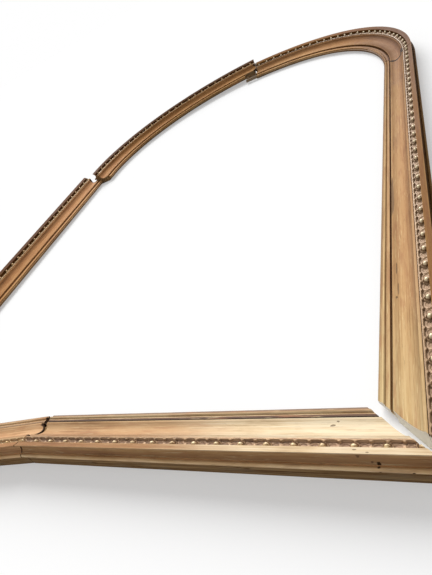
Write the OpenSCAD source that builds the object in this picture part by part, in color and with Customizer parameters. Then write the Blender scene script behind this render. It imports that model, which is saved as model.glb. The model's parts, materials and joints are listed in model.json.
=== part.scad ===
// Arched frame in six gilded members, taken apart and laid out face up with the joints a little open.
// Millimetres. X runs across the frame, Y from the foot to the crown and Z out of the face.
// The row of beads is the line that every member is set out from: profile offsets are measured
// outward from it, and sizes whose names end in _in are measured inward from it.

/* [Opening] */
// Width of the sight opening between the straight sides
sight_w = 1700; // [1500:10:2300]
// Height of the straight sides, from the sight edge of the foot to the springing of the arch
side_h = 1868; // [1200:4:2600]

/* [Back planks] */
// Thickness of the planks that carry the mouldings
plank_t = 30; // [26:1:40]
// Reach of the planks inward from the row of beads
plank_in = 75; // [70:1:80]
// Reach of the planks outward from the row of beads
plank_out = 26; // [24:1:30]
// Number of plank segments in each half of the arch
segments = 3; // [3:3]

/* [Sight moulding] */
// Distance from the sight edge to the row of beads
sight_in = 108; // [100:1:125]
// Depth of the rebate behind the sight moulding, where a panel or glass lies
rebate_d = 12; // [8:1:14]
// Thickness of the lip at the sight edge
lip_t = 8; // [6:0.5:10]
// Radius of the small bead that runs along the lip
lip_bead_r = 4.5; // [3:0.5:6]
// Distance from the sight edge to the centre of that small bead
lip_bead_off = 10.5; // [8:0.5:13]
// Thickness of the ledge between the lip bead and the quirk
ledge_t = 14; // [12:0.5:16]
// Width of the quirk beside the cove
quirk_w = 7; // [4:0.5:9]
// Thickness left under the quirk
quirk_floor_t = 6; // [4:0.5:8]

/* [Cove moulding] */
// Overlap of the cove moulding past the plank, over the sight moulding
cove_lap = 2; // [1:0.5:3]
// Distance from the outer side of the cove moulding to the row of beads
cove_out_in = 17; // [15:0.5:20]
// Height of the inner fillet above the plank
toe_h = 3; // [2:0.5:5]
// Width of the inner fillet
toe_w = 4; // [3:0.5:6]
// Height of the top fillet above the plank
cove_h = 27; // [22:1:30]
// Width of the top fillet
top_fillet_w = 6; // [4:0.5:8]
// Step from the top fillet down to the hollow
top_fillet_step = 3.4; // [2:0.2:5]
// Depth of the hollow below the straight line between its edges
cove_sag = 8; // [5:0.5:10]

/* [Rim moulding] */
// Height of the bead channel's floor above the plank
channel_h = 22; // [18:1:24]
// Reach of the channel outward from the row of beads, where the flat band begins
band_start = 7; // [6:0.5:9]
// Height of the flat band's inner edge above the plank
band_h = 40; // [36:1:42]
// Height of the arris, the highest line of the frame, above the plank
arris_h = 47; // [44:1:52]
// Reach of the arris outward from the row of beads
arris_out = 23; // [20:0.5:25]
// Height of the fillet under the arris
arris_fillet = 4; // [3:0.5:6]
// Depth of the hollow in the outer side
scotia_sag = 9.5; // [6:0.5:11]
// Height of the hollow's lower edge above the plank
scotia_low_h = 15; // [14:0.5:17]
// Radius of the astragal below the hollow
astragal_r = 5; // [4.6:0.1:5.4]
// Height of the astragal's centre above the plank
astragal_h = 9; // [8:0.5:10]
// Reach of the astragal outward from the row of beads, the outer edge of the frame
rim_out = 32; // [30:0.5:36]
// Depth of the dark notch under the astragal, inward from the plank's edge
notch_d = 3; // [1:0.5:5]

/* [Bead strip] */
// Spacing of the eggs along the row, which is evened out on each member
bead_pitch = 55; // [45:1:70]
// Radius of an egg
egg_r = 6.5; // [5:0.5:6.5]
// Radius of the small dart bead between two eggs
dart_r = 4; // [2.5:0.5:5]
// Depth of the centres of eggs and darts below the top of the strip
egg_sink = 1; // [0.5:0.1:1.5]
// Thickness of the strip under the beads
strip_t = 9; // [8:0.5:12]
// Reach of the strip inward from the row of beads
strip_in = 12; // [10:0.5:14]

/* [Joints] */
// Gap between mating faces of two members when the joint is closed
joint_gap = 0.5; // [0.3:0.1:1]
// Side gap between mouldings that are fixed to one plank
seat_gap = 0.4; // [0.3:0.1:0.5]
// Radius of the rounded cove end that enters the next member
lobe_r = 25; // [20:1:27]
// Reach of the rounded cove end past the joint
lobe_reach = 14; // [8:1:16]
// Distance from the centre of the rounded end to the row of beads
lobe_in = 47; // [45:1:49]
// Angle that the stiles' mitres are cut past 45 degrees, pivoted on the outer corner
mitre_trim = 3; // [3:0.5:5]
// Length of the right stile's lip above the springing
right_lip_lap = 75; // [20:5:120]
// Length of the left stile's lip above the springing
left_lip_lap = 0; // [0:1:20]
// Length of the right lip past the crown
crown_lip_lap = 75; // [20:5:90]
// Length of the right lip past the foot joint
foot_lip_lap = 12; // [10:1:40]
// Length of the right stile's cove above the springing
right_cove_lap = 16; // [16:1:22]
// Length of the left stile's cove above the springing
left_cove_lap = 0; // [0:0.5:1]
// Length of the stiles' rims above the springing
spring_rim_lap = 15; // [5:1:20]
// Length of the right rail's rim past the foot joint
foot_rim_lap = 8; // [3:1:9]
// Distance of the foot joint to the left of the centre line
foot_shift = 19; // [0:1:40]
// Thickness of the tongue at the crown
tongue_t = 15; // [12:0.5:16]
// Width of the tongue
tongue_w = 60; // [40:2:66]
// Length of the tongue that is fixed in the right half, and of the part that stands out
tongue_l = 60; // [40:5:80]
// Distance from the middle of the tongue to the row of beads
tongue_in = 25; // [20:1:30]

/* [Layout on the floor] */
// Gap between the right stile and the right half of the arch
right_spring_open = 4; // [3:0.5:20]
// Turn of the right rail about the corner, in degrees
right_rail_turn = -3.08; // [-4:0.02:-2]
// Distance that the right rail is drawn off the mitre
right_rail_off = 25; // [22:1:40]
// Distance that the right rail lies toward the foot
right_rail_down = 5; // [4:0.5:12]
// Turn of the left rail about the foot joint, in degrees
left_rail_turn = 2.7; // [2.4:0.1:3.4]
// Distance that the left rail is drawn off the right rail
left_rail_off = 5; // [4.5:0.5:20]
// Distance that the left rail lies above the end of the right rail
left_rail_up = 0.45; // [0.35:0.05:0.55]
// Turn of the left stile, in degrees
left_stile_turn = 0.41; // [0:0.01:0.8]
// Distance that the left stile's corner lies inside the left rail's corner
left_corner_x = 1.5; // [-5:0.5:1.5]
// Distance that the left stile's corner lies above the left rail's corner
left_corner_y = 2; // [2:0.5:30]
// Turn of the left half of the arch about its springing, in degrees
left_arch_turn = 3; // [2:0.1:3.4]
// Gap in X between the crown ends of the two halves
crown_open = 18; // [18:0.5:60]
// Gap between the left stile and the left half of the arch
left_spring_open = 5; // [4.5:0.5:20]

/* [Hidden] */
$fn = 96;

// Set-out of the bead line
bead_hw = sight_w / 2 + sight_in;
spring_y = side_h + sight_in;
quarter = bead_hw * PI / 2;

// Heights of the profile above the floor
cove_in = plank_in + cove_lap;
toe_z = plank_t + toe_h;
cove_z = plank_t + cove_h;
channel_z = plank_t + channel_h;
egg_z = channel_z + strip_t - egg_sink;
top_z = plank_t + arris_h;
astragal_u = rim_out - astragal_r;
past_end = rim_out + 1;
cut_size = 4 * (sight_in + rim_out);
lobe_back = lobe_r - lobe_reach;

// Lengths of the two rails from the corner to the foot joint
right_rail_len = bead_hw + foot_shift;
left_rail_len = bead_hw - foot_shift;

// Colours as seen
wood_colour = [0.42, 0.32, 0.20];
sight_colour = [0.66, 0.60, 0.50];
cove_colour = [0.80, 0.66, 0.46];
rim_colour = [0.84, 0.74, 0.56];
bead_colour = [0.74, 0.58, 0.40];

function turned(p, a) = [p.x * cos(a) - p.y * sin(a), p.x * sin(a) + p.y * cos(a)];
function path_angle(s) = s / bead_hw * 180 / PI;
function evened(len) = len / round(len / bead_pitch);

// Where the members lie: the points that the layout is worked out from
right_corner = [bead_hw, 0];
right_rail_shift = turned([-right_rail_off, 0], right_rail_turn) - [0, right_rail_down];
foot_end_right = right_corner + turned([-right_rail_len, 0], right_rail_turn) + right_rail_shift;
foot_joint = [-foot_shift, 0];
left_rail_shift = foot_end_right - foot_joint + [-left_rail_off, left_rail_up];
left_corner = [-bead_hw, 0];
left_rail_corner = foot_joint + turned(left_corner - foot_joint, left_rail_turn) + left_rail_shift;
left_stile_shift = left_rail_corner - left_corner + [left_corner_x, left_corner_y];
left_stile_top = turned([0, spring_y], left_stile_turn) + left_corner + left_stile_shift;
left_spring = [-bead_hw, spring_y];
left_crown_x = -bead_hw + turned([bead_hw, bead_hw], left_arch_turn).x;
left_arch_shift = [-crown_open - left_crown_x, left_stile_top.y + left_spring_open - spring_y];

// The left half of the arch tips up about the outermost point of its planks and rests on the tongue
left_arch_centre = left_spring + turned([bead_hw, 0], left_arch_turn) + left_arch_shift;
tip_x = left_arch_centre.x - bead_hw - plank_out;
left_arch_tip = atan((tongue_t + seat_gap) / (-tongue_l - tip_x));

// Extent of the layout, whose middle is the origin
x_high = bead_hw + rim_out;
left_rim_end = turned([-rim_out, spring_y + spring_rim_lap], left_stile_turn);
x_low = left_rim_end.x + left_corner.x + left_stile_shift.x;
left_crown_top = turned([bead_hw, bead_hw + rim_out], left_arch_turn);
y_high = left_crown_top.y + left_spring.y + left_arch_shift.y;
left_foot = turned(left_corner - foot_joint - [rim_out, rim_out], left_rail_turn);
right_foot = turned([rim_out, -rim_out], right_rail_turn);
y_low = min(left_foot.y + left_rail_shift.y, right_foot.y + right_rail_shift.y);
middle = [(x_low + x_high) / 2, (y_low + y_high) / 2];

// Radius of an arc from its chord and its depth
function arc_radius(chord, sag) = (chord * chord / 4 + sag * sag) / (2 * sag);

// Centre of the circle through two edge points, on the right of the way from a to b
function arc_centre(a, b, sag) =
    let(along = (b - a) / norm(b - a), side = [along.y, -along.x])
    (a + b) / 2 - side * (arc_radius(norm(b - a), sag) - sag);

// Profiles, as offset from the bead line and height above the floor

module plank_profile() {
    translate([-plank_in, 0]) square([plank_in + plank_out, plank_t]);
}

module sight_profile() {
    back = -plank_in - seat_gap;
    quirk = -cove_in - quirk_w;
    bead = [-sight_in + lip_bead_off, rebate_d + lip_t + 2];
    polygon([
        [-sight_in, rebate_d], [back, rebate_d], [back, plank_t], [-cove_in, plank_t],
        [-cove_in, rebate_d + quirk_floor_t], [quirk, rebate_d + quirk_floor_t],
        [quirk, rebate_d + ledge_t], bead, [-sight_in, rebate_d + lip_t]
    ]);
    translate(bead) circle(lip_bead_r);
}

module cove_profile() {
    width = cove_in - cove_out_in - seat_gap;
    high = [-cove_out_in - top_fillet_w, cove_z - top_fillet_step];
    low = [-cove_in + toe_w, toe_z];
    centre = arc_centre(low, high, cove_sag);
    difference() {
        translate([-cove_in, plank_t]) square([width, cove_h]);
        intersection() {
            translate(centre) circle(arc_radius(norm(high - low), cove_sag));
            translate([high.x - cut_size, 0]) square(cut_size);
        }
        translate([centre.x - cut_size, toe_z]) square(cut_size);
    }
}

module rim_profile() {
    notch = plank_out - notch_d;
    astragal_z = plank_t + astragal_h;
    high = [arris_out, top_z - arris_fillet];
    low = [arris_out, plank_t + scotia_low_h];
    difference() {
        polygon([
            [-cove_out_in, plank_t], [notch, plank_t], [notch, astragal_z - astragal_r / 2],
            [astragal_u, astragal_z - astragal_r / 2], [astragal_u, astragal_z],
            [arris_out, astragal_z], [arris_out, top_z], [band_start, plank_t + band_h],
            [band_start, channel_z], [-cove_out_in, channel_z]
        ]);
        translate(arc_centre(high, low, scotia_sag))
            circle(arc_radius(norm(high - low), scotia_sag));
    }
    translate([astragal_u, astragal_z]) circle(astragal_r);
}

module strip_profile() {
    translate([-strip_in, channel_z]) square([strip_in + band_start - seat_gap, strip_t]);
}

// Paths. Lengths along an upright are measured from the springing, minus below it.

// Right-hand upright: straight below the springing and a quarter circle above it
module upright(from, to) {
    if (from < 0)
        translate([bead_hw, spring_y + min(to, 0), 0])
            rotate([90, 0, 0])
                linear_extrude(min(to, 0) - from) children();
    if (to > 0)
        translate([0, spring_y, 0])
            rotate([0, 0, path_angle(max(from, 0))])
                rotate_extrude(angle = path_angle(to - max(from, 0)))
                    translate([bead_hw, 0]) children();
}

// Right-hand rail along the foot, with lengths measured from the corner to the joint
module foot(from, to) {
    translate([bead_hw - from, 0, 0]) rotate([90, 0, -90]) linear_extrude(to - from) children();
}

// Everything past the mitre at the right corner, on the side of the rail or of the stile
module past_mitre(side, trim) {
    translate([bead_hw + rim_out, -rim_out, -1]) rotate([0, 0, -45 - trim])
        translate([-cut_size / 2, side == "rail" ? -cut_size : 0, 0])
            cube([cut_size, cut_size, 2 * top_z]);
}

module mitred_stile() {
    difference() {
        children();
        past_mitre("rail", mitre_trim);
    }
}

module mitred_rail() {
    difference() {
        children();
        past_mitre("stile", 0);
    }
}

// Rounded end of a cove, which hangs clear over the next member's plank
module lobe(at) {
    translate([at.x, at.y, plank_t + seat_gap]) cylinder(r = lobe_r, h = top_z);
}

// Hollow in the end of a cove that takes the next member's rounded end
module lobe_hollow(at) {
    translate([at.x, at.y, plank_t - 1]) cylinder(r = lobe_r + joint_gap, h = top_z);
}

// Block that ends at a joint line through a point, on the side that dir points to
module beyond(at, dir) {
    translate([at.x, at.y, -1]) rotate([0, 0, atan2(dir.y, dir.x)])
        translate([0, -cut_size / 2, 0]) cube([cut_size, cut_size, 2 * top_z]);
}

// Stiles

module stile_plank() mitred_stile() upright(-spring_y - past_end, 0) plank_profile();

module stile_sight(lap) mitred_stile() upright(-spring_y - past_end, lap) sight_profile();

module stile_cove(lap) {
    difference() {
        mitred_stile() upright(-spring_y - past_end, lap) cove_profile();
        lobe_hollow([bead_hw - lobe_in, spring_y + lap + lobe_back]);
    }
}

module stile_rim() mitred_stile() upright(-spring_y - past_end, spring_rim_lap) rim_profile();

module stile_beads() {
    len = spring_y;
    step = evened(len);
    mitred_stile() {
        upright(-spring_y - past_end, spring_rim_lap) strip_profile();
        for (y = [step / 2 : step : len])
            translate([bead_hw, y, egg_z]) sphere(egg_r);
        for (y = [step : step : len - step / 2])
            translate([bead_hw, y, egg_z]) sphere(dart_r);
    }
}

// Halves of the arch, right-handed; the left one is a mirror image with a rounded crown end

module arch_plank(i, tongue_cut) {
    step = quarter / segments;
    from = i == 0 ? joint_gap : i * step;
    to = i == segments - 1 ? quarter - joint_gap / 2 : (i + 1) * step;
    difference() {
        upright(from, to) plank_profile();
        if (i == segments - 1) tongue_block(tongue_cut);
    }
}

// The tongue's room: grow is the clearance round the standing part
module tongue_block(grow) {
    y = spring_y + bead_hw - tongue_in;
    translate([-tongue_l - grow, y - tongue_w / 2 - grow, -1])
        cube([2 * (tongue_l + grow), tongue_w + 2 * grow, tongue_t + grow + 1]);
}

module arch_sight(from, to) upright(from, to) sight_profile();

// The cove's rounded lower end enters the stile
module arch_cove(lap, to) {
    difference() {
        upright(lap - lobe_reach - 1, to) cove_profile();
        difference() {
            beyond([bead_hw - lobe_in, spring_y + lap + joint_gap], [0, -1]);
            lobe([bead_hw - lobe_in, spring_y + lap + lobe_back]);
        }
    }
}

module arch_rim(to) upright(spring_rim_lap + joint_gap, to) rim_profile();

module arch_beads(to) {
    from = spring_rim_lap + joint_gap;
    step = evened(to - from);
    upright(from, to) strip_profile();
    for (s = [from + step / 2 : step : to]) on_arch(s) sphere(egg_r);
    for (s = [from + step : step : to - step / 2]) on_arch(s) sphere(dart_r);
}

// Point of the bead line above the springing
module on_arch(s) {
    translate([0, spring_y, egg_z])
        rotate([0, 0, path_angle(s)]) translate([bead_hw, 0, 0]) children();
}

module round_crown() {
    difference() {
        children();
        difference() {
            beyond([joint_gap, spring_y + bead_hw - lobe_in], [-1, 0]);
            lobe([lobe_back, spring_y + bead_hw - lobe_in]);
        }
    }
}

module hollow_crown() {
    difference() {
        children();
        lobe_hollow([-lobe_back, spring_y + bead_hw - lobe_in]);
    }
}

// Rails, right-handed; the left one is a mirror image with a rounded foot end

module rail_plank(len) mitred_rail() foot(-past_end, len - joint_gap / 2) plank_profile();

module rail_sight(len) mitred_rail() foot(-past_end, len) sight_profile();

module rail_rim(len) mitred_rail() foot(-past_end, len) rim_profile();

module rail_beads(len) {
    step = evened(len);
    mitred_rail() {
        foot(-past_end, len) strip_profile();
        for (s = [step / 2 : step : len])
            translate([bead_hw - s, 0, egg_z]) sphere(egg_r);
        for (s = [step : step : len - step / 2])
            translate([bead_hw - s, 0, egg_z]) sphere(dart_r);
    }
}

module rail_cove_hollow(len) {
    difference() {
        mitred_rail() foot(-past_end, len) cove_profile();
        lobe_hollow([bead_hw - len - lobe_back, lobe_in]);
    }
}

module rail_cove_round(len) {
    difference() {
        mitred_rail() foot(-past_end, len + lobe_reach + 1) cove_profile();
        difference() {
            beyond([bead_hw - len + joint_gap, lobe_in], [-1, 0]);
            lobe([bead_hw - len + lobe_back, lobe_in]);
        }
    }
}

// Places of the members in the layout

module laid(turn, about, shift) {
    translate([shift.x - middle.x, shift.y - middle.y, 0])
        translate([about.x, about.y, 0]) rotate([0, 0, turn]) translate([-about.x, -about.y, 0])
            children();
}

module place_right_stile() laid(0, right_corner, [0, 0]) children();

module place_right_arch() laid(0, right_corner, [0, right_spring_open]) children();

module place_right_rail() laid(right_rail_turn, right_corner, right_rail_shift) children();

module place_left_rail() laid(left_rail_turn, foot_joint, left_rail_shift) mirror([1, 0, 0]) children();

module place_left_stile() laid(left_stile_turn, left_corner, left_stile_shift) mirror([1, 0, 0]) children();

module place_left_arch() {
    pivot = tip_x - middle.x;
    translate([pivot, 0, 0]) rotate([0, -left_arch_tip, 0]) translate([-pivot, 0, 0])
        laid(left_arch_turn, left_spring, left_arch_shift) mirror([1, 0, 0]) children();
}

// Sub-parts

module right_stile_plank() color(wood_colour) place_right_stile() stile_plank();
module right_stile_sight() color(sight_colour) place_right_stile() stile_sight(right_lip_lap);
module right_stile_cove() color(cove_colour) place_right_stile() stile_cove(right_cove_lap);
module right_stile_rim() color(rim_colour) place_right_stile() stile_rim();
module right_stile_beads() color(bead_colour) place_right_stile() stile_beads();

module right_arch_plank_1() color(wood_colour) place_right_arch() arch_plank(0, 0);
module right_arch_plank_2() color(wood_colour) place_right_arch() arch_plank(1, 0);
module right_arch_plank_3() color(wood_colour) place_right_arch() arch_plank(2, 0);
module right_arch_sight() {
    color(sight_colour) place_right_arch()
        arch_sight(right_lip_lap + joint_gap, quarter + crown_lip_lap);
}
module right_arch_cove() {
    color(cove_colour) place_right_arch() hollow_crown() arch_cove(right_cove_lap, quarter);
}
module right_arch_rim() color(rim_colour) place_right_arch() arch_rim(quarter);
module right_arch_beads() color(bead_colour) place_right_arch() arch_beads(quarter);
module crown_tongue() {
    y = spring_y + bead_hw - tongue_in;
    color(wood_colour) place_right_arch()
        translate([-tongue_l, y - tongue_w / 2, 0]) cube([2 * tongue_l, tongue_w, tongue_t]);
}

module left_arch_plank_1() color(wood_colour) place_left_arch() arch_plank(0, joint_gap);
module left_arch_plank_2() color(wood_colour) place_left_arch() arch_plank(1, joint_gap);
module left_arch_plank_3() color(wood_colour) place_left_arch() arch_plank(2, joint_gap);
module left_arch_sight() {
    color(sight_colour) place_left_arch()
        arch_sight(left_lip_lap + joint_gap, quarter - crown_lip_lap - joint_gap);
}
module left_arch_cove() {
    color(cove_colour) place_left_arch()
        round_crown() arch_cove(left_cove_lap, quarter + lobe_reach + 1);
}
module left_arch_rim() color(rim_colour) place_left_arch() arch_rim(quarter - joint_gap);
module left_arch_beads() color(bead_colour) place_left_arch() arch_beads(quarter - joint_gap);

module right_rail_plank() color(wood_colour) place_right_rail() rail_plank(right_rail_len);
module right_rail_sight() {
    color(sight_colour) place_right_rail() rail_sight(right_rail_len + foot_lip_lap);
}
module right_rail_cove() color(cove_colour) place_right_rail() rail_cove_hollow(right_rail_len);
module right_rail_rim() {
    color(rim_colour) place_right_rail() rail_rim(right_rail_len + foot_rim_lap);
}
module right_rail_beads() {
    color(bead_colour) place_right_rail() rail_beads(right_rail_len + foot_rim_lap);
}

module left_rail_plank() color(wood_colour) place_left_rail() rail_plank(left_rail_len);
module left_rail_sight() {
    color(sight_colour) place_left_rail() rail_sight(left_rail_len - foot_lip_lap - joint_gap);
}
module left_rail_cove() color(cove_colour) place_left_rail() rail_cove_round(left_rail_len);
module left_rail_rim() {
    color(rim_colour) place_left_rail() rail_rim(left_rail_len - foot_rim_lap - joint_gap);
}
module left_rail_beads() {
    color(bead_colour) place_left_rail() rail_beads(left_rail_len - foot_rim_lap - joint_gap);
}

module left_stile_plank() color(wood_colour) place_left_stile() stile_plank();
module left_stile_sight() color(sight_colour) place_left_stile() stile_sight(left_lip_lap);
module left_stile_cove() color(cove_colour) place_left_stile() stile_cove(left_cove_lap);
module left_stile_rim() color(rim_colour) place_left_stile() stile_rim();
module left_stile_beads() color(bead_colour) place_left_stile() stile_beads();

right_stile_plank();
right_stile_sight();
right_stile_cove();
right_stile_rim();
right_stile_beads();
right_arch_plank_1();
right_arch_plank_2();
right_arch_plank_3();
right_arch_sight();
right_arch_cove();
right_arch_rim();
right_arch_beads();
crown_tongue();
left_arch_plank_1();
left_arch_plank_2();
left_arch_plank_3();
left_arch_sight();
left_arch_cove();
left_arch_rim();
left_arch_beads();
right_rail_plank();
right_rail_sight();
right_rail_cove();
right_rail_rim();
right_rail_beads();
left_rail_plank();
left_rail_sight();
left_rail_cove();
left_rail_rim();
left_rail_beads();
left_stile_plank();
left_stile_sight();
left_stile_cove();
left_stile_rim();
left_stile_beads();
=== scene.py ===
"""Arched frame in six gilded members, laid out loose and face up on a pale floor."""

import json
import math

import bpy
import numpy as np
from mathutils import Euler, Matrix, Vector

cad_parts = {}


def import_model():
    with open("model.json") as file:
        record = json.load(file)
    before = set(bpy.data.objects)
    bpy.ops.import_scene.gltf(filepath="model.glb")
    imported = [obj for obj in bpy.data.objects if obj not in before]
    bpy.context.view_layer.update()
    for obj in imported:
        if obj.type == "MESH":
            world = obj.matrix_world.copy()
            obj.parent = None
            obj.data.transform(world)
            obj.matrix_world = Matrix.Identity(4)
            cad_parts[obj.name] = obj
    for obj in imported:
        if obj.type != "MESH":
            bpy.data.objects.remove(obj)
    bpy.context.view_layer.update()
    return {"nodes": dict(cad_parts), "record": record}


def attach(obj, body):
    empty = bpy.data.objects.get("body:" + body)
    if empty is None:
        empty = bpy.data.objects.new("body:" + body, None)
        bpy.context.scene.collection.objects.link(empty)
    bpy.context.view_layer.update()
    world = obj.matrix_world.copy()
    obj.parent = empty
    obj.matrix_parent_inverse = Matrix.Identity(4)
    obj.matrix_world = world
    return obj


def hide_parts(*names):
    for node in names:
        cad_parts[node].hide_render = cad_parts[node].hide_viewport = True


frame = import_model()

# ---------------------------------------------------------------- set-out, in metres
HALF_W = 0.958                      # from the middle line of the opening to the row of eggs
SPRING = 1.976                      # from the corner to the springing of the arch
QUARTER = HALF_W * math.pi / 2      # a quarter circle along the row of eggs
EGG_MM = 55                         # spacing of the eggs, in millimetres
PITCH = EGG_MM / 1000
PLANK_OUT, RIM_OUT = 0.026, 0.032   # from the row of eggs to the plank's and the rim's outer edge
SPRING_LAP, FOOT_LAP = 0.015, 0.008     # how far the rims lap past the springing and the foot joint
FOOT_SHIFT = 0.019                  # the foot joint stands this far left of the middle
TONGUE_T, TONGUE_L = 0.015, 0.060   # the tongue at the crown, on which the left half lies tipped
SEAT_GAP, JOINT_GAP = 0.0004, 0.0005    # clear over the tongue, and at a closed joint
MITRE = math.tan(math.radians(48))  # the stiles' mitres, cut 3 degrees past 45

# How each loose member lies: degrees turned, and metres moved from the closed frame
RAIL_TURN, LEFT_RAIL_TURN, STILE_TURN, ARCH_TURN = -3.08, 2.7, 0.41, 3.0
RAIL_OPEN, RAIL_DROP = 0.025, 0.005
RIGHT_ARCH_RISE = 0.004
LEFT_RAIL_MOVE = Vector((-0.005, 0.00045))
LEFT_STILE_MOVE = Vector((0.0015, 0.002))
CROWN_X, LEFT_ARCH_RISE = -0.018, 0.005


def turned(p, degrees):
    """A point turned about the origin, anticlockwise."""
    c, s = math.cos(math.radians(degrees)), math.sin(math.radians(degrees))
    return Vector((p[0] * c - p[1] * s, p[0] * s + p[1] * c))


def layout():
    """The row frame's origin in the set-out, and for each member a matrix to the row frame with
    its side, 1 right and -1 left."""
    right_corner, left_corner = Vector((HALF_W, 0)), Vector((-HALF_W, 0))
    joint, left_spring = Vector((-FOOT_SHIFT, 0)), Vector((-HALF_W, SPRING))
    rail_shift = turned((-RAIL_OPEN, 0), RAIL_TURN) - Vector((0, RAIL_DROP))
    foot_end = right_corner + turned((-HALF_W - FOOT_SHIFT, 0), RAIL_TURN) + rail_shift
    left_rail_shift = foot_end - joint + LEFT_RAIL_MOVE
    rail_corner = joint + turned(left_corner - joint, LEFT_RAIL_TURN) + left_rail_shift
    stile_shift = rail_corner - left_corner + LEFT_STILE_MOVE
    stile_top = turned((0, SPRING), STILE_TURN) + left_corner + stile_shift
    crown_x = -HALF_W + turned((HALF_W, HALF_W), ARCH_TURN).x
    arch_shift = Vector((CROWN_X - crown_x, stile_top.y + LEFT_ARCH_RISE - SPRING))
    centre = left_spring + turned((HALF_W, 0), ARCH_TURN) + arch_shift
    tip_x = centre.x - HALF_W - PLANK_OUT
    tip = math.atan((TONGUE_T + SEAT_GAP) / (-TONGUE_L - tip_x))

    # the row frame's origin is the middle of the whole layout
    x_high = HALF_W + RIM_OUT
    x_low = turned((-RIM_OUT, SPRING + SPRING_LAP), STILE_TURN).x + left_corner.x + stile_shift.x
    y_high = turned((HALF_W, HALF_W + RIM_OUT), ARCH_TURN).y + left_spring.y + arch_shift.y
    left_foot = (turned(left_corner - joint - Vector((RIM_OUT, RIM_OUT)), LEFT_RAIL_TURN)
                 + left_rail_shift)
    right_foot = turned((RIM_OUT, -RIM_OUT), RAIL_TURN) + rail_shift
    middle = Vector(((x_low + x_high) / 2, (min(left_foot.y, right_foot.y) + y_high) / 2))

    def laid(degrees, about, shift):
        return (Matrix.Translation((*(shift - middle), 0)) @ Matrix.Translation((*about, 0))
                @ Matrix.Rotation(math.radians(degrees), 4, "Z")
                @ Matrix.Translation((*-about, 0)))

    pivot = Vector((tip_x - middle.x, 0, 0))
    tipped = (Matrix.Translation(pivot) @ Matrix.Rotation(-tip, 4, "Y")
              @ Matrix.Translation(-pivot))
    return middle, {
        "right_stile": (laid(0, right_corner, Vector((0, 0))), 1),
        "right_arch": (laid(0, right_corner, Vector((0, RIGHT_ARCH_RISE))), 1),
        "right_rail": (laid(RAIL_TURN, right_corner, rail_shift), 1),
        "left_rail": (laid(LEFT_RAIL_TURN, joint, left_rail_shift), -1),
        "left_stile": (laid(STILE_TURN, left_corner, stile_shift), -1),
        "left_arch": (tipped @ laid(ARCH_TURN, left_spring, arch_shift), -1),
    }


MIDDLE, LAYOUT = layout()
MIRROR = Matrix.Scale(-1, 4, (1, 0, 0))


def on_member(member, s, u, z):
    """Row-frame points from arrays of lengths along the member, offsets from the row of eggs and
    heights."""
    if "rail" in member:
        p = np.stack([HALF_W - s, -u, z], -1)
    else:
        a, r = np.maximum(s, 0) / HALF_W, HALF_W + u
        p = np.stack([r * np.cos(a), SPRING + r * np.sin(a) + np.minimum(s, 0), z], -1)
    matrix, side = LAYOUT[member]
    m = np.array(matrix @ MIRROR if side < 0 else matrix)
    return p @ m[:3, :3].T + m[:3, 3]


# ---------------------------------------------------------------- material nodes
def linear(code):
    """sRGB hex to a linear colour."""
    rgb = [int(code[i:i + 2], 16) / 255 for i in (1, 3, 5)]
    return [c / 12.92 if c <= 0.04045 else ((c + 0.055) / 1.055) ** 2.4 for c in rgb] + [1]


def add(tree, kind, links=None, **settings):
    """Adds a node. A setting is a property, or a socket's value where its name starts in_."""
    node = tree.nodes.new(kind)
    for name, value in settings.items():
        if name.startswith("in_"):
            key = name[3:]
            socket = node.inputs[int(key) if key.isdigit() else key.replace("_", " ")]
            socket.default_value = value
        else:
            setattr(node, name, value)
    for key, source in (links or {}).items():
        tree.links.new(source, node.inputs[key])
    return node


def blank(name):
    """A new material with an empty node tree."""
    mat = bpy.data.materials.new(name)
    mat.use_nodes = True
    mat.node_tree.nodes.clear()
    return mat, mat.node_tree


COPE_R, COPE_U = 0.025, -0.047      # radius and offset of the coves' rounded ends
COPES = {       # the end's centre, the way it points, how far its dirt runs on and half its width
    "right_stile": (0.027, -1, 0.04, 0.0064),
    "right_arch": (0.027, -1, 0.04, 0.0064),
    "left_stile": (0.011, -1, 0, 0.0044),
    "left_arch": (QUARTER - 0.011, 1, 0, 0.0044),
    "left_rail": (HALF_W - 0.030, 1, 0, 0.0044),
}
GESSO, OLD_DIRT, WORN_END = "#f4efe4", "#4a3524", "#9c7a52"
END_COLOURS = {     # a member's first end and its other one, where they aren't gesso and dirt
    "right_arch": (OLD_DIRT, OLD_DIRT), "left_arch": (WORN_END, OLD_DIRT),
}
BAND_RISE, BAND_Z = 7 / 16, 0.0669  # the flat band's slope, and its height over the row of eggs


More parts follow.
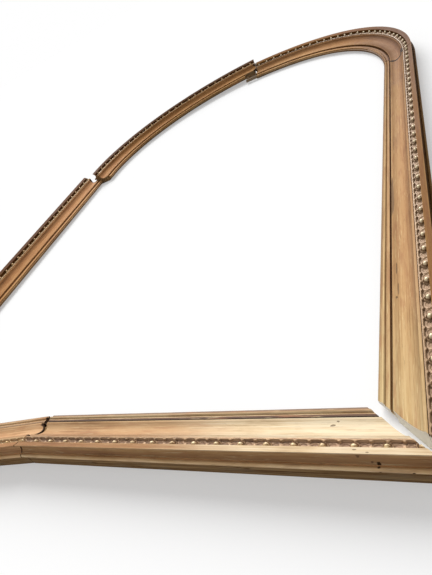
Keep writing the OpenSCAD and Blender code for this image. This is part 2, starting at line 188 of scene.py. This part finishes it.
class Surface:
    """A member's own set-out inside a material: s along it, u across it and z above the floor,
    in metres."""

    def __init__(self, tree, member, seed):
        self.tree, self.member = tree, member
        matrix, side = LAYOUT[member]
        coord = add(tree, "ShaderNodeTexCoord")
        place = add(tree, "ShaderNodeMapping", {0: coord.outputs["Object"]},
                    vector_type="TEXTURE", in_Location=matrix.to_translation(),
                    in_Rotation=matrix.to_euler("XYZ"), in_Scale=(side, 1, 1))
        at = add(tree, "ShaderNodeSeparateXYZ", {0: place.outputs[0]}).outputs
        if "rail" in member:
            self.s = self.math("SUBTRACT", HALF_W, at[0])
            self.u = self.math("MULTIPLY", at[1], -1)
        else:
            rise = self.math("SUBTRACT", at[1], SPRING)
            above = self.math("MAXIMUM", rise, 0)
            self.turn = self.math("ARCTAN2", above, at[0])
            self.s = self.math("MULTIPLY_ADD", self.turn, HALF_W, self.math("MINIMUM", rise, 0))
            self.u = self.math("SUBTRACT", self.length(at[0], above), HALF_W)
        self.z = at[2]
        apart = seed * 3.7          # so that no two members wear alike
        self.vector = self.joined(self.math("ADD", self.s, apart), self.u, self.z)

    def joined(self, *parts):
        """A vector of two or three sockets."""
        node = add(self.tree, "ShaderNodeCombineXYZ", dict(enumerate(parts)))
        return node.outputs[0]

    def length(self, *parts):
        node = add(self.tree, "ShaderNodeVectorMath", {0: self.joined(*parts)}, operation="LENGTH")
        return node.outputs["Value"]

    def math(self, operation, *values):
        """A value worked out from numbers and sockets."""
        node = add(self.tree, "ShaderNodeMath", operation=operation)
        for i, value in enumerate(values):
            if isinstance(value, (int, float)):
                node.inputs[i].default_value = value
            else:
                self.tree.links.new(value, node.inputs[i])
        return node.outputs[0]

    def noise(self, along, across, detail=3.0, rough=0.55, shift=0.0):
        """Noise whose spots are about along by across metres."""
        scale = add(self.tree, "ShaderNodeMapping", {0: self.vector},
                    in_Location=(shift, shift, 0), in_Scale=(1 / along, 1 / across, 1 / across))
        return add(self.tree, "ShaderNodeTexNoise", {0: scale.outputs[0]}, in_Scale=1.0,
                   in_Detail=detail, in_Roughness=rough).outputs[0]

    def step(self, value, low, high):
        """0 where value is at low or beyond, 1 at high or beyond, smooth between them."""
        return add(self.tree, "ShaderNodeMapRange", {0: value}, interpolation_type="SMOOTHSTEP",
                   in_1=low, in_2=high).outputs[0]

    def patches(self, size, low, high, amount, **look):
        """Patches of a size (along, across) where noise passes low to high: up to amount."""
        return self.math("MULTIPLY", self.step(self.noise(*size, **look), low, high), amount)

    def ramp(self, value, low, high, stops):
        """Colours at stops of value, which runs from low to high."""
        unit = add(self.tree, "ShaderNodeMapRange", {0: value}, in_1=low, in_2=high).outputs[0]
        node = add(self.tree, "ShaderNodeValToRGB", {0: unit})
        bar = node.color_ramp.elements
        while len(bar) > 1:
            bar.remove(bar[-1])
        for i, (place, code) in enumerate(stops):
            at = (place - low) / (high - low)
            stop = bar[0] if i == 0 else bar.new(at)
            stop.position = at
            stop.color = linear(code)
        return node.outputs[0]

    def mix(self, factor, a, b, blend="MIX"):
        """A colour between a and b, each a hex code or a socket."""
        node = add(self.tree, "ShaderNodeMix", data_type="RGBA", blend_type=blend)
        for i, value in ((0, factor), (6, a), (7, b)):      # the colour mix's factor, A and B
            if isinstance(value, str):
                node.inputs[i].default_value = linear(value)
            elif isinstance(value, (int, float)):
                node.inputs[i].default_value = value
            else:
                self.tree.links.new(value, node.inputs[i])
        return node.outputs[2]

    def tint(self, colour, over):
        """A colour darkened by another one over it."""
        return self.mix(1.0, colour, over, "MULTIPLY")

    def holes(self, spacing, radius, share, shift=0.0):
        """Round holes of a radius, in a share of the cells of a spacing: 1 inside them."""
        moved = add(self.tree, "ShaderNodeMapping", {0: self.vector}, in_Location=(shift, 0, 0))
        cells = add(self.tree, "ShaderNodeTexVoronoi", {0: moved.outputs[0]}, in_Scale=1 / spacing)
        red = add(self.tree, "ShaderNodeSeparateColor", {0: cells.outputs["Color"]}).outputs[0]
        chosen = self.math("LESS_THAN", red, share)
        near = self.step(cells.outputs["Distance"], radius * 1.3 / spacing, radius * 0.7 / spacing)
        return self.math("MULTIPLY", near, chosen)

    def spot(self, at, size, side=False):
        """A ragged dent or stain at (s, u), or at (s, z) on the outer side, with its half sizes:
        1 inside it."""
        flat = self.joined(self.s, self.z if side else self.u)
        off = add(self.tree, "ShaderNodeVectorMath", {0: flat}, operation="SUBTRACT",
                  in_1=(*at, 0))
        scaled = add(self.tree, "ShaderNodeVectorMath", {0: off.outputs[0]},
                     operation="MULTIPLY", in_1=(1 / size[0], 1 / size[1], 0))
        far = add(self.tree, "ShaderNodeVectorMath", {0: scaled.outputs[0]}, operation="LENGTH")
        # the noise adds about 0.6, so the edge wanders round a distance of 1
        ragged = self.math("MULTIPLY_ADD", self.noise(*size, 1), 1.2, far.outputs["Value"])
        return self.step(ragged, 1.75, 1.35)

    def outer_side(self):
        """1 on the rim's outer side, below the flat band, which climbs outwards."""
        band_z = self.math("MULTIPLY_ADD", self.u, BAND_RISE, BAND_Z)
        below = self.step(self.math("SUBTRACT", band_z, self.z), 0.0012, 0.0022)
        return self.math("MULTIPLY", below, self.step(self.u, 0.0075, 0.0085))

    def ends(self):
        """1 on faces that look along the member, where the mouldings were sawn through."""
        normal = add(self.tree, "ShaderNodeNewGeometry").outputs["True Normal"]
        matrix, side = LAYOUT[self.member]
        own = add(self.tree, "ShaderNodeMapping", {0: normal}, vector_type="TEXTURE",
                  in_Rotation=matrix.to_euler("XYZ"), in_Scale=(side, 1, 1)).outputs[0]
        if "rail" in self.member:
            along = add(self.tree, "ShaderNodeSeparateXYZ", {0: own}).outputs[0]
        else:
            way = self.joined(self.math("COSINE", self.turn), self.math("SINE", self.turn))
            across = add(self.tree, "ShaderNodeVectorMath", {0: own, 1: way},
                         operation="CROSS_PRODUCT")
            along = add(self.tree, "ShaderNodeSeparateXYZ", {0: across.outputs[0]}).outputs[2]
        return self.step(self.math("ABSOLUTE", along), 0.30, 0.36)

    def end_colour(self):
        """Pale gesso at the mitres, old dirt at the joints that were closed for long. A member's
        first end is at its corner or, on the arch, at the springing."""
        corner = -SPRING if "stile" in self.member else 0.0
        first, last = END_COLOURS.get(self.member, (GESSO, OLD_DIRT))
        return self.mix(self.step(self.s, corner + 0.18, corner + 0.22), first, last)

    def joint_line(self):
        """Dirt in the joint round a coped end: a half circle, and a tail along its outer side."""
        centre, toward, tail, width = COPES[self.member]
        back = self.math("MULTIPLY", self.math("SUBTRACT", self.s, centre), toward)
        across = self.math("SUBTRACT", self.u, COPE_U)
        far = self.length(self.math("MAXIMUM", back, 0), across)
        off = self.math("ABSOLUTE", self.math("SUBTRACT", far, COPE_R))
        reach = self.math("MULTIPLY_ADD", self.math("GREATER_THAN", across, 0), tail, back)
        return self.math("MULTIPLY", self.step(off, width * 1.3, width * 0.7),
                         self.step(reach, -0.002, 0.006))

    def finish(self, colour, height, metallic, roughness, gloss):
        """The shader, with height in millimetres of bump."""
        bump = add(self.tree, "ShaderNodeBump", {"Height": height}, in_Strength=1.0,
                   in_Distance=0.001)
        shader = add(self.tree, "ShaderNodeBsdfPrincipled",
                     {"Base Color": colour, "Normal": bump.outputs[0]}, in_Specular_IOR_Level=gloss)
        for name, value in (("Metallic", metallic), ("Roughness", roughness)):
            if isinstance(value, (int, float)):
                shader.inputs[name].default_value = value
            else:
                self.tree.links.new(value, shader.inputs[name])
        add(self.tree, "ShaderNodeOutputMaterial", {0: shader.outputs[0]})


# ---------------------------------------------------------------- colours across and along
# Colours at offsets from the row of eggs, and at heights on the rim's outer side, in metres
SIGHT_SPAN, COVE_SPAN, RIM_SPAN = (-0.110, -0.070), (-0.080, -0.016), (-0.018, 0.033)
SIDE_SPAN, CARVING_SPAN = (0.030, 0.078), (0.052, 0.068)
SIGHT_STOPS = [     # lip, bead and the dark quirk beside the cove
    (-0.108, "#7d6a52"), (-0.1045, "#967a5a"), (-0.101, "#bc9c70"), (-0.0975, "#d3b78c"),
    (-0.0935, "#b08c64"), (-0.0905, "#b08d64"), (-0.086, "#bf9c72"), (-0.0838, "#9a7450"),
    (-0.0822, "#7c5638"), (-0.0800, "#7c5638"), (-0.0785, "#a27c56"),
]
RAIL_SIGHT_STOPS = [    # grey lip, a pale line painted as light over the bead's shaded step, and a deep red-brown quirk
    (-0.108, "#786252"), (-0.103, "#8c7058"), (-0.099, "#a88868"), (-0.0965, "#d6c098"),
    (-0.0915, "#ecd4ac"), (-0.0900, "#5e3820"), (-0.086, "#42240e"), (-0.083, "#2c1606"),
    (-0.0775, "#2a1406"),
]
COVE_STOPS = [      # pale edge, even hollow, dark foot and pale fillet
    (-0.077, "#cbab80"), (-0.0735, "#bd986c"), (-0.070, "#b28e64"), (-0.055, "#bb966a"),
    (-0.040, "#ba9166"), (-0.030, "#ad8561"), (-0.0245, "#94704f"), (-0.023, "#c4a07a"),
    (-0.0175, "#b38c68"),
]
RIM_STOPS = [       # channel under the eggs, painted dark as its shadow, flat band and its pale arris: rubbed leaf with a painted highlight
    (-0.017, "#a9825c"), (-0.0125, "#a9825c"), (-0.011, "#6b4a30"), (0.0066, "#6b4a30"),
    (0.0072, "#cdae82"), (0.009, "#b18d64"), (0.020, "#b08c64"), (0.0225, "#cdb085"),
    (0.0232, "#c4a67a"), (0.030, "#c49c72"),
]
RIM_SIDE = [        # by height: astragal, hollow and arris, painted lighter than the leaf as light from the front, with a near-white painted highlight on the astragal
    (0.030, "#a98458"), (0.0335, "#8e6a44"), (0.0362, "#dcb07e"), (0.040, "#ffe2b4"),
    (0.0435, "#f0cb98"), (0.0455, "#a87e50"), (0.055, "#bd935f"), (0.068, "#af8657"),
    (0.0725, "#9a7449"), (0.0735, "#c9a274"), (0.077, "#d8bd90"),
]
CARVING_STOPS = [   # by height: moats and ovals painted dark as shade, ground, husks, and eggs with a painted highlight on their tops
    (0.0525, "#553c28"), (0.0538, "#70503a"), (0.0552, "#98745a"), (0.0572, "#aa8662"),
    (0.059, "#aa845c"), (0.0608, "#b28d64"), (0.0625, "#cfae82"), (0.066, "#f4dcb2"),
]
PAINTED_SHADE_SPAN = (-2.0, 1.55)            # lengths along a member, from a stile's foot to the crown
PAINTED_SHADE_ALONG = {           # painted shade: how far each member is darkened along its length where it turns from the window light
    "right_stile": [(-1.95, "#fffff4"), (-0.9, "#e6dcc8"), (-0.3, "#cfc2a8"), (0.0, "#b8a484")],
    "right_arch": [(0.0, "#b8a484"), (0.15, "#a08868"), (0.5, "#b09a78"), (0.8, "#e0caa4"),
                   (1.1, "#fff0d4")],
    "right_rail": [(0.0, "#ffffff")],
    "left_rail": [(0.0, "#fff6ea")],
    "left_stile": [(0.0, "#fce6c8")],
    "left_arch": [(0.0, "#ecd2a6"), (1.5, "#ffecc8")],
}
RIM_PAINTED_SHADE = {       # painted shade in the same way on the rim's flat band and on its outer side: darkest on the right members' outer side, which turns from the window light, and dirt with shade on the left members' band
    "right_stile": ("#bca888", "#a09680"), "right_arch": ("#c8b48c", "#8c8470"),
    "right_rail": ("#d8cac0", "#ffffff"), "left_rail": ("#d8cac0", "#ffffff"),
    "left_stile": ("#8c7a5c", "#9c8a6c"), "left_arch": ("#8c7a5c", "#9c8a6c"),
}
DENTS = {           # (s, u, half sizes) on the face, then (s, z, half sizes) on the outer side
    "right_rail": (
        [(0.164, -0.060, 0.0046, 0.0026), (0.155, -0.0685, 0.0026, 0.0014),
         (0.104, 0.0135, 0.0032, 0.0016), (0.0815, 0.0195, 0.0026, 0.0014)],
        [(0.071, 0.0455, 0.0036, 0.0020), (0.0695, 0.038, 0.0022, 0.0012),
         (0.018, 0.039, 0.0026, 0.0014), (0.105, 0.034, 0.0020, 0.0012)]),
    "right_stile": (
        [(-1.160, -0.0745, 0.090, 0.0042), (-1.49, -0.0670, 0.020, 0.0012),
         (-1.56, -0.0640, 0.018, 0.0012), (-1.59, -0.0675, 0.004, 0.0020)], []),
}
DUST = "#b8aca0"                    # a thin even film of grey dust on all the leaf
BOLE, CARVED_BOLE = "#a9744e", "#9a6b47"    # red clay that shows through the leaf
# the rubbed corner of the right rail is painted paler still, as a highlight
PALE_LEAF, RUBBED_RAIL_HIGHLIGHT, BARE_STILE, PALE_RAIL = "#e6d2a8", "#e6dcc0", "#dfcfa4", "#dcc0a2"
SCRATCH, HOLE, BRUISE = "#6b4c2e", "#3f2c1b", "#6b5540"
JOINT_DIRT, UNGILDED = "#2a1a0e", "#84705a"
LEFT_CARVING_PAINTED_LIGHT, RIGHT_CARVING_GROUND, EGG_PAINTED_HIGHLIGHT = "#c8a26c", "#7e5e36", "#fff0cc"   # on the carving: painted light on the left members, a mid brown ground on the right, and a painted highlight on the eggs
LEAF_METAL = 0.15                   # rubbed leaf is only a little metallic
MATT, BURNISHED = 0.02, 0.1         # specular levels of dusty leaf or wood, and of the carving


# ---------------------------------------------------------------- materials
def gilded(name, member, seed, stops, low, high, side=None):
    """Worn water gilding on gesso and red bole. The leaf is rubbed thin, so the face is a warm
    matt tan: clouded with bole and darker blotches, streaked along the moulding, with pale rubbed
    lines and worm holes, and darkened with painted shade along each member where it turns from
    the window light. stops colour it across, and side colours its outer side by height."""
    mat, tree = blank(name)
    f = Surface(tree, member, seed)
    colour = f.ramp(f.u, low, high, stops)
    if side:
        is_side = f.outer_side()
        colour = f.mix(is_side, colour, f.ramp(f.z, *SIDE_SPAN, side))
    clouds = f.noise(0.16, 0.035, detail=4, rough=0.6, shift=3.1)
    streaks = f.noise(0.30, 0.0035, detail=4, rough=0.6)            # brush strokes, 3.5 mm wide
    fine = f.noise(0.006, 0.003, detail=2, rough=0.6, shift=7.7)    # pits of the gesso

    rubbed_and_highlit = 0.0
    if member == "right_rail" and "sight" not in name:
        # its corner end is rubbed to pale leaf and gesso, and painted paler still as a highlight of
        # the window light
        rubbed_and_highlit = f.step(f.math("MULTIPLY_ADD", clouds, 0.5, f.s), 0.88, 0.52)
        if side:
            rubbed_and_highlit = f.math("MULTIPLY", rubbed_and_highlit, f.math("SUBTRACT", 1, is_side))
        colour = f.mix(f.math("MULTIPLY", rubbed_and_highlit, 0.75), colour, RUBBED_RAIL_HIGHLIGHT)
    if member == "right_stile" and not side:
        bare = f.step(f.math("MULTIPLY_ADD", clouds, 0.5, f.s), -1.25, -1.70)
        colour = f.mix(f.math("MULTIPLY", bare, 0.45), colour, BARE_STILE)
    if member == "left_rail":
        colour = f.mix(0.35, colour, PALE_RAIL)

    blotches = f.math("MULTIPLY_ADD", streaks, 0.5, f.math("MULTIPLY", clouds, 0.5))
    colour = f.tint(colour, f.ramp(blotches, 0.3, 0.7, [(0.38, "#c6b49e"), (0.47, "#ebe0d2"),
                                                        (0.55, "#fcfaf8")]))
    bole = f.patches((0.09, 0.014), 0.52, 0.68, f.math("MULTIPLY_ADD", rubbed_and_highlit, -0.36, 0.45),
                     detail=4, rough=0.6, shift=11.3)
    colour = f.mix(bole, colour, BOLE)
    pale = f.patches((0.06, 0.003), 0.56, 0.70, 0.45, detail=4, rough=0.65, shift=23.3)
    colour = f.mix(pale, colour, PALE_LEAF)
    rubs = f.patches((0.04, 0.0014), 0.62, 0.70, 0.4, detail=3, rough=0.6, shift=17.9)
    colour = f.mix(rubs, colour, SCRATCH)
    colour = f.mix(0.12, colour, DUST)
    # painted shade: each member darkened along its length where it turns from the window light
    colour = f.tint(colour, f.ramp(f.s, *PAINTED_SHADE_SPAN, PAINTED_SHADE_ALONG[member]))
    # painted shade on the rim's band and outer side; the rail's band is lightened where its corner
    # is rubbed and highlit
    if side:
        band, outside = RIM_PAINTED_SHADE[member]
        if member == "right_rail":
            band = f.mix(rubbed_and_highlit, band, "#f2eeea")
        colour = f.tint(colour, f.mix(is_side, band, outside))

    worm = f.holes(spacing=0.060, radius=0.0013, share=0.08)
    chips = f.holes(spacing=0.110, radius=0.0030, share=0.08, shift=5.5)
    chips = f.math("MULTIPLY", chips, f.step(fine, 0.42, 0.52))
    holes = f.math("MAXIMUM", worm, chips)
    on_face, on_side = DENTS.get(member, ([], []))
    for s, z, *size in (on_side if side else []):
        holes = f.math("MAXIMUM", holes, f.spot((s, z), size, side=True))
    colour = f.mix(holes, colour, HOLE)
    for s, u, *size in on_face:
        if low < u < high:
            bruise = f.spot((s, u), size)
            holes = f.math("MAXIMUM", holes, f.math("MULTIPLY", bruise, 0.5))
            colour = f.mix(f.math("MULTIPLY", bruise, 0.7), colour, BRUISE)
    if "cove" in name and member in COPES:
        colour = f.mix(f.math("MULTIPLY", f.joint_line(), 0.95), colour, JOINT_DIRT)
    if member == "right_arch":      # the crown end was covered by the other half and never gilded
        bare = f.step(f.s, QUARTER - 0.0125, QUARTER - 0.0115)
        colour = f.mix(bare, colour, UNGILDED)
    colour = f.mix(f.ends(), colour, f.end_colour())

    height = f.math("MULTIPLY_ADD", fine, 0.15, f.math("MULTIPLY", streaks, 0.3))
    height = f.math("SUBTRACT", height, f.math("MULTIPLY", holes, 1.4))
    height = f.math("SUBTRACT", height, f.math("MULTIPLY", rubs, 0.25))
    no_leaf = f.math("MAXIMUM", bole, holes)
    f.finish(colour, height, gloss=MATT,
             metallic=f.math("SUBTRACT", LEAF_METAL, f.math("MULTIPLY", no_leaf, 0.12)),
             roughness=f.math("MULTIPLY_ADD", clouds, 0.25, 0.45))
    return mat


def bare_wood(name, member, seed):
    """Old softwood of the back planks: matt, dark with dust and handling, with lengthwise grain
    2.2 mm wide. Its browns are painted lighter than the wood, as fill light on the edges seen from
    the front."""
    mat, tree = blank(name)
    f = Surface(tree, member, seed)
    grain = f.noise(0.25, 0.0022, detail=5, rough=0.6)
    # painted light: the grain's browns are lighter than the wood, standing in for fill light from
    # the front
    colour = f.ramp(grain, 0.3, 0.7, [(0.36, "#6b5034"), (0.48, "#957550"), (0.62, "#b8966c")])
    dust = f.patches((0.08, 0.03), 0.45, 0.7, 0.4, detail=4, shift=4.2)
    colour = f.mix(dust, colour, "#97866e")
    knots = f.patches((0.05, 0.012), 0.60, 0.70, 0.6, shift=31.7)
    colour = f.mix(knots, colour, "#4f3722")
    worm = f.holes(spacing=0.045, radius=0.0012, share=0.12)
    colour = f.mix(worm, colour, "#2a1c10")
    colour = f.mix(f.ends(), colour, f.end_colour())
    height = f.math("SUBTRACT", f.math("MULTIPLY", grain, 0.5), f.math("MULTIPLY", worm, 1.2))
    f.finish(colour, height, metallic=0.0, roughness=0.82, gloss=MATT)
    return mat


def carved(name, member, seed):
    """Gilded carving: rubbed leaf with painted highlights on the eggs, painted shade down in the
    hollows, with bole, streaks and dust.
    """
    mat, tree = blank(name)
    f = Surface(tree, member, seed)
    colour = f.ramp(f.z, *CARVING_SPAN, CARVING_STOPS)
    streaks = f.noise(0.02, 0.003)
    colour = f.tint(colour, f.ramp(streaks, 0.3, 0.7, [(0.38, "#b8aa9a"), (0.55, "#ffffff")]))
    bole = f.patches((0.03, 0.01), 0.58, 0.68, 0.35, detail=4, rough=0.6, shift=9.1)
    colour = f.mix(bole, colour, CARVED_BOLE)
    if "left" in member:            # painted light: the left members' carving lies in the rim's shadow, so it is all lifted towards a pale tan
        colour = f.mix(0.7, colour, LEFT_CARVING_PAINTED_LIGHT)
    rubbed_and_highlit = f.step(f.z, 0.0608, 0.0630)    # the eggs stand above the husks: rubbed leaf, with a painted highlight on top
    if "right" in member and "rail" not in member:      # the rest of the carving is evened to a mid brown, and the eggs' tops get a painted highlight
        colour = f.mix(f.math("MULTIPLY_ADD", rubbed_and_highlit, -0.65, 0.65), colour, RIGHT_CARVING_GROUND)
        colour = f.mix(f.math("MULTIPLY", rubbed_and_highlit, 0.7), colour, EGG_PAINTED_HIGHLIGHT)
    colour = f.mix(f.math("MULTIPLY_ADD", rubbed_and_highlit, -0.16, 0.16), colour, DUST)
    f.finish(colour, f.math("MULTIPLY", streaks, 0.3), metallic=LEAF_METAL, roughness=0.36,
             gloss=BURNISHED)
    return mat


bodies = frame["record"]["behaviour"]["bodies"]
for seed, (member, nodes) in enumerate(bodies.items()):
    sight = RAIL_SIGHT_STOPS if "rail" in member else SIGHT_STOPS
    looks = {
        "plank": bare_wood(f"old_bare_softwood_{member}", member, seed),
        "sight": gilded(f"worn_gilding_sight_{member}", member, seed, sight, *SIGHT_SPAN),
        "cove": gilded(f"worn_gilding_cove_{member}", member, seed, COVE_STOPS, *COVE_SPAN),
        "rim": gilded(f"worn_gilding_rim_{member}", member, seed, RIM_STOPS, *RIM_SPAN, RIM_SIDE),
        "beads": carved(f"worn_gilding_carving_{member}", member, seed),
    }
    looks["tongue"] = looks["plank"]
    for node in nodes:
        kind = next(k for k in looks if k in node)
        mesh = frame["nodes"][node].data
        mesh.materials.clear()
        mesh.materials.append(looks[kind])


# ---------------------------------------------------------------- carved egg-and-dart strip
STRIP_IN, STRIP_OUT = -0.0155, 0.0066       # the strip's edges, from the row of eggs
STRIP_Z = 0.052                             # the channel's floor that it lies on
ROWS_PER_EGG, COLUMNS = 44, 20
STILE_FIRST = 0.00875                       # from the corner up to a stile's first egg
MITRE_REACH = 0.03                          # length over which a strip's end bends to the mitre
# heights of the carving above the floor, in millimetres
GROUND, OVAL, MOAT = 57.2, 54.9, 53.4       # the ground, and the bottoms of the hollows
HUSK, FILLET = 60.4, 60.8                   # the ridges
EGG_FOOT, EGG_RISE, DART_FOOT = 55.0, 12.4, 56.0


def relief(x, u, egg_scale):
    """Height of the carving: x along from the middle of an egg, u from the row, in millimetres."""
    to_dart = np.abs(np.abs(x) - EGG_MM / 2)
    z = GROUND + 0.10 * u
    # wide shallow ovals between the eggs and the darts
    oval = np.hypot((np.abs(x) - 16.0) / 8.4, (u + 1.8) / 6.6)
    z = np.where(oval < 1, np.minimum(z, OVAL + 2.4 * oval ** 2), z)
    # husk: a raised loop round the egg, open towards the band, with a narrow dark moat inside it
    ring = np.hypot(x / 9.6, (u - 1.4) / 9.4)
    z = np.maximum(z, HUSK - 190 * (ring - 0.97) ** 2 - 0.25 * np.maximum(u, 0))
    z = np.where(ring < 0.88, np.minimum(z, MOAT), z)
    # fillet beside the cove, with a cusp at every egg and dart
    cusp = 3.0 * np.exp(-(np.minimum(np.abs(x), to_dart) / 3.5) ** 2)
    z = np.maximum(z, FILLET - 16 * np.maximum(u + 11.6 - cusp, 0) ** 2)
    egg = np.hypot(x / (7.0 * egg_scale), (u - 1.0) / 6.0)
    z = np.maximum(z, EGG_FOOT + EGG_RISE * np.maximum(1 - egg ** 2.6, 0) ** 0.5)
    # dart: a tear between two ovals that widens and rises towards the band
    half = np.interp(u, [-9.5, -3, 6.6], [1.4, 2.4, 5.0])
    rise = np.interp(u, [-9, -3, 3, 6.6], [1.0, 1.6, 3.2, 4.4])
    return np.maximum(z, DART_FOOT + rise * np.maximum(1 - (to_dart / half) ** 2, 0) ** 0.6)


def carve(member, start, end, first, step, mitre):
    """The ornament strip of a member from start to end, with its first egg at first. It replaces
    the member's plain strip."""
    rng = np.random.default_rng(len(member) + int(step * 1e6))
    rows = int(round((end - start) / step * ROWS_PER_EGG))
    s = np.linspace(start, end, rows + 1)[:, None]
    u = np.linspace(STRIP_IN, STRIP_OUT, COLUMNS)[None, :]
    order = np.round((s - first) / step)
    eggs = int(order.max() - order.min()) + 1
    which = (order - order.min()).astype(int)
    size = 1 + rng.normal(0, 0.03, eggs)[which]         # no two eggs were cut quite alike
    nudge = rng.normal(0, 0.5, eggs)[which]
    x = (s - first - order * step) / step * EGG_MM
    z = relief(x + nudge * np.cos(np.pi * x / EGG_MM), u * 1000, size) / 1000
    if mitre:      # the corner end follows the mitre
        bend = np.maximum(1 - (s - start) / MITRE_REACH, 0)
        s = s + ((RIM_OUT - u) * mitre - RIM_OUT) * bend
    s, u = np.broadcast_arrays(s, u)
    top = np.stack([s, u, z], -1)
    low = top[:, ::-1][:, [0, -1]].copy()
    low[..., 2] = STRIP_Z
    outline = np.concatenate([top, low], 1)     # one closed outline per row
    count = outline.shape[1]
    points = on_member(member, *[outline[..., i].ravel() for i in range(3)])
    here = np.arange(rows)[:, None] * count
    a = here + np.arange(count)
    b = here + (np.arange(count) + 1) % count
    quads = np.stack([a, b, b + count, a + count], -1).reshape(-1, 4)
    ends = [list(range(count)), list(range(rows * count + count - 1, rows * count - 1, -1))]
    # the mirror of the left members and the rails' own set-out each turn the faces over
    if (LAYOUT[member][1] < 0) != ("rail" in member):
        quads = quads[:, ::-1]
    else:
        ends = [e[::-1] for e in ends]
    mesh = bpy.data.meshes.new(f"{member}_egg_and_dart")
    mesh.from_pydata(points.tolist(), [], quads.tolist() + ends)
    mesh.update()
    mesh.shade_smooth()
    mesh.materials.append(bpy.data.materials[f"worn_gilding_carving_{member}"])
    strip = bpy.data.objects.new(f"{member}_egg_and_dart", mesh)
    bpy.context.scene.collection.objects.link(strip)
    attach(strip, member)
    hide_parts(f"{member}_beads")


def evened(length):
    """The spacing nearest the eggs' own that divides a length evenly."""
    return length / round(length / PITCH)


for member in LAYOUT:
    if "stile" in member:
        step = evened(SPRING)
        carve(member, -SPRING, SPRING_LAP, -SPRING + STILE_FIRST, step, MITRE)
    elif "arch" in member:
        start = SPRING_LAP + JOINT_GAP
        end = QUARTER - (JOINT_GAP if member == "left_arch" else 0)
        step = evened(end - start)
        carve(member, start, end, start + step / 2, step, 0)
    else:
        past = FOOT_SHIFT + FOOT_LAP
        end = HALF_W + (past if member == "right_rail" else -past - JOINT_GAP)
        step = evened(end)
        carve(member, 0, end, step, step, 1)


# ---------------------------------------------------------------- floor, light and camera
WHITE = (1, 1, 1, 1)
FLOOR_HALF, FLOOR_DROP = 60.0, 0.0005   # half its width, and how far it lies below the backs
FLOOR_GLOW = 0.4                        # share of plain white in the floor that the camera sees
WORLD_FILL = 0.31                       # light of the surround on matt surfaces
WINDOW_FROM, WINDOW_STRENGTH, WINDOW_DEGREES = (-0.44, 1.0, 0.70), 4.1, 40
CAMERA_AT = (1.06684, -0.45643, 0.77539)                # in the set-out
CAMERA_DEGREES = (54.84487924, 26.87547559, 16.49985651)
SENSOR_MM, LENS_MM = 36, 30.265637


def seen_plainly(tree):
    """1 where the camera, a reflection or a view through glass shows the surface."""
    path = add(tree, "ShaderNodeLightPath").outputs
    seen = add(tree, "ShaderNodeMath", {0: path["Is Camera Ray"], 1: path["Is Glossy Ray"]},
               operation="MAXIMUM")
    return add(tree, "ShaderNodeMath", {0: seen.outputs[0], 1: path["Is Transmission Ray"]},
               operation="MAXIMUM").outputs[0]


def floor():
    """Pale seamless floor of matt white paper, which keeps the frame's soft shadow."""
    mat, tree = blank("matt_white_paper_floor")
    bounce = add(tree, "ShaderNodeBsdfDiffuse", in_Color=linear("#f0f0f0"))
    paper = add(tree, "ShaderNodeBsdfDiffuse", in_Color=WHITE)
    white = add(tree, "ShaderNodeEmission", in_Color=WHITE, in_Strength=1.0)
    seen = add(tree, "ShaderNodeMixShader", {1: paper.outputs[0], 2: white.outputs[0]},
               in_0=FLOOR_GLOW)
    both = add(tree, "ShaderNodeMixShader",
               {0: seen_plainly(tree), 1: bounce.outputs[0], 2: seen.outputs[0]})
    add(tree, "ShaderNodeOutputMaterial", {0: both.outputs[0]})
    mesh = bpy.data.meshes.new("floor")
    corners = [(-1, -1), (1, -1), (1, 1), (-1, 1)]
    mesh.from_pydata([(x * FLOOR_HALF, y * FLOOR_HALF, 0) for x, y in corners], [], [(0, 1, 2, 3)])
    mesh.materials.append(mat)
    obj = bpy.data.objects.new("floor", mesh)
    obj.location.z = -FLOOR_DROP
    bpy.context.scene.collection.objects.link(obj)


def world():
    """Even surround: plain white to the camera and in reflections, a dim fill on matt surfaces."""
    made = bpy.data.worlds.new("white_studio")
    made.use_nodes = True
    tree = made.node_tree
    tree.nodes.clear()
    level = add(tree, "ShaderNodeMapRange", {0: seen_plainly(tree)}, in_3=WORLD_FILL, in_4=1.0)
    back = add(tree, "ShaderNodeBackground", {1: level.outputs[0]}, in_Color=WHITE)
    add(tree, "ShaderNodeOutputWorld", {0: back.outputs[0]})
    bpy.context.scene.world = made


def window():
    """Large soft window light, low behind the crown and a little to the left."""
    data = bpy.data.lights.new("window_light", "SUN")
    data.energy = WINDOW_STRENGTH
    data.angle = math.radians(WINDOW_DEGREES)
    obj = bpy.data.objects.new("window_light", data)
    obj.rotation_mode = "QUATERNION"
    obj.rotation_quaternion = Vector(WINDOW_FROM).to_track_quat("Z", "Y")
    bpy.context.scene.collection.objects.link(obj)


def camera():
    """By the right-hand corner of the foot, 0.78 m up, where the photograph was taken from."""
    data = bpy.data.cameras.new("camera")
    data.sensor_fit = "AUTO"
    data.sensor_width = SENSOR_MM
    data.lens = LENS_MM
    viewer = bpy.data.objects.new("camera", data)
    x, y, z = CAMERA_AT
    viewer.location = (x - MIDDLE.x, y - MIDDLE.y, z)
    viewer.rotation_euler = Euler([math.radians(a) for a in CAMERA_DEGREES], "XYZ")
    bpy.context.scene.collection.objects.link(viewer)
    bpy.context.scene.camera = viewer


floor()
world()
window()
camera()
bpy.context.scene.view_settings.view_transform = "Standard"
